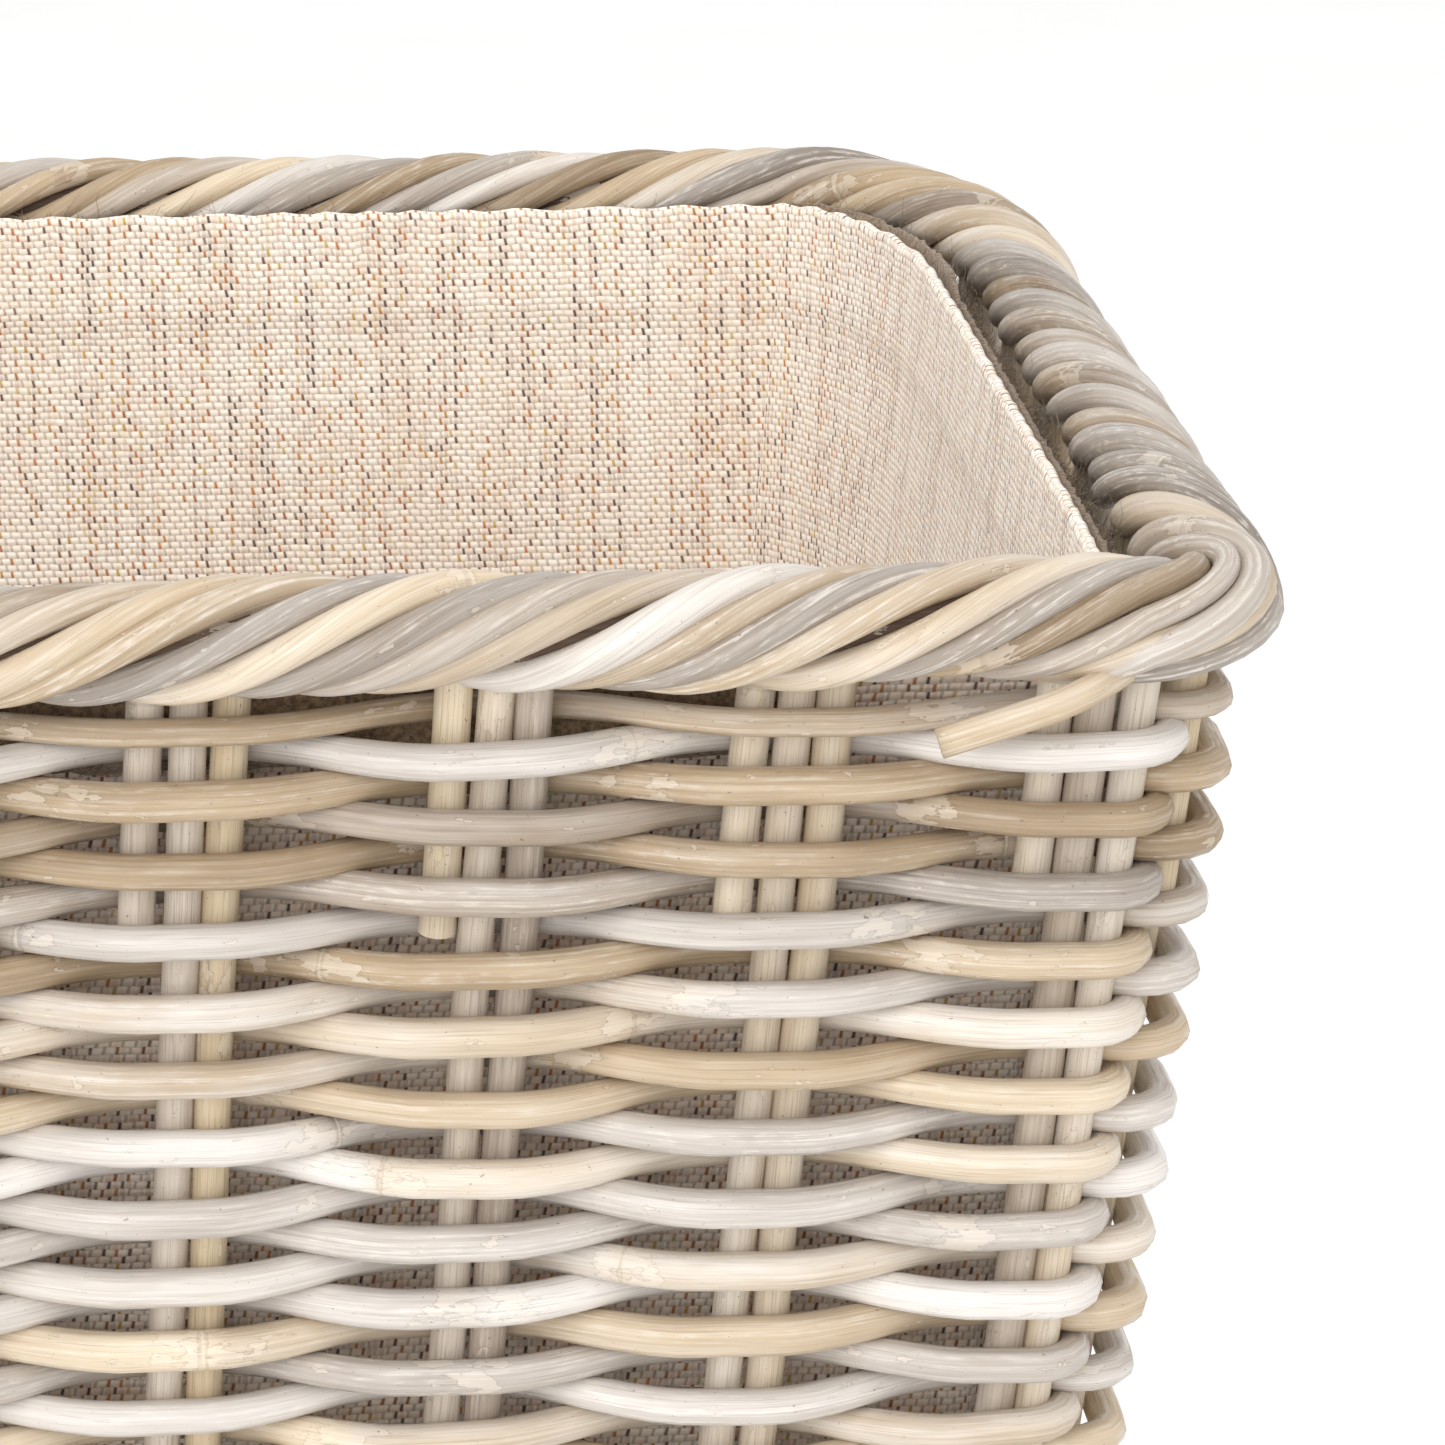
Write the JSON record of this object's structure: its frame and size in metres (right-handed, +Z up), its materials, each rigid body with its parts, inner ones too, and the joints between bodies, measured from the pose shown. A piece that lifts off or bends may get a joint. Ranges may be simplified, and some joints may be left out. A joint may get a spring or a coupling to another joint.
{
  "type": "laundry basket",
  "caption": "Rectangular open-topped laundry basket woven from grey-washed rattan, with flared walls, drawn-out back corners, a rolled rope rim and a removable slub-cloth liner.",
  "frame": {"origin": "centre of the foot border's underside, on the floor", "axes": "+Z up, +X along the long side, +Y from the front wall to the back wall"},
  "size_m": [0.5994, 0.3906, 0.5],
  "materials": {
    "weaver_cane": "satin grey-washed rattan with fibre streaks and pale leaf scars",
    "stake_cane": "matte rattan core with fine lengthwise grooves",
    "rim_cane": "satin rattan, glossier on the crowns of the strands",
    "border_cane": "satin grey-washed rattan",
    "liner_cloth": "oatmeal slub weave with brown, ochre and white flecks",
    "tape": "fuzzy brown hook-and-loop tape"
  },
  "bodies": {
    "basket": {"foot_front": "border_cane", "foot_back": "border_cane", "foot_left": "border_cane", "foot_right": "border_cane", "foot_corner_front_left": "border_cane", "foot_corner_front_right": "border_cane", "foot_corner_back_left": "border_cane", "foot_corner_back_right": "border_cane", "base_sticks": "stake_cane", "base_weave_upper": "weaver_cane", "base_weave_lower": "weaver_cane", "stakes_front": "stake_cane", "bye_stakes_front": "stake_cane", "weave_outer_front": "weaver_cane", "weave_inner_front": "weaver_cane", "rim_front": "rim_cane", "loop_tape_front": "tape", "stakes_back": "stake_cane", "bye_stakes_back": "stake_cane", "weave_outer_back": "weaver_cane", "weave_inner_back": "weaver_cane", "rim_back": "rim_cane", "loop_tape_back": "tape", "stakes_left": "stake_cane", "bye_stakes_left": "stake_cane", "weave_outer_left": "weaver_cane", "weave_inner_left": "weaver_cane", "rim_left": "rim_cane", "loop_tape_left": "tape", "stakes_right": "stake_cane", "bye_stakes_right": "stake_cane", "weave_outer_right": "weaver_cane", "weave_inner_right": "weaver_cane", "rim_right": "rim_cane", "loop_tape_right": "tape", "weave_corner_front_left": "weaver_cane", "rim_corner_front_left": "rim_cane", "weave_corner_front_right": "weaver_cane", "rim_corner_front_right": "rim_cane", "weave_corner_back_left": "weaver_cane", "rim_corner_back_left": "rim_cane", "weave_corner_back_right": "weaver_cane", "rim_corner_back_right": "rim_cane", "binding_course": "weaver_cane"},
    "liner": {"liner_front": "liner_cloth", "liner_hem_front": "liner_cloth", "hook_tape_front": "tape", "liner_back": "liner_cloth", "liner_hem_back": "liner_cloth", "hook_tape_back": "tape", "liner_left": "liner_cloth", "liner_hem_left": "liner_cloth", "hook_tape_left": "tape", "liner_right": "liner_cloth", "liner_hem_right": "liner_cloth", "hook_tape_right": "tape", "liner_base": "liner_cloth", "liner_corner_back_left": "liner_cloth", "liner_corner_back_right": "liner_cloth"}
  },
  "joints": [
    {"name": "liner_lift", "type": "slide", "parent": "basket", "child": "liner", "axis": [0, 0, 1], "range_m": [0, 0.5]}
  ]
}
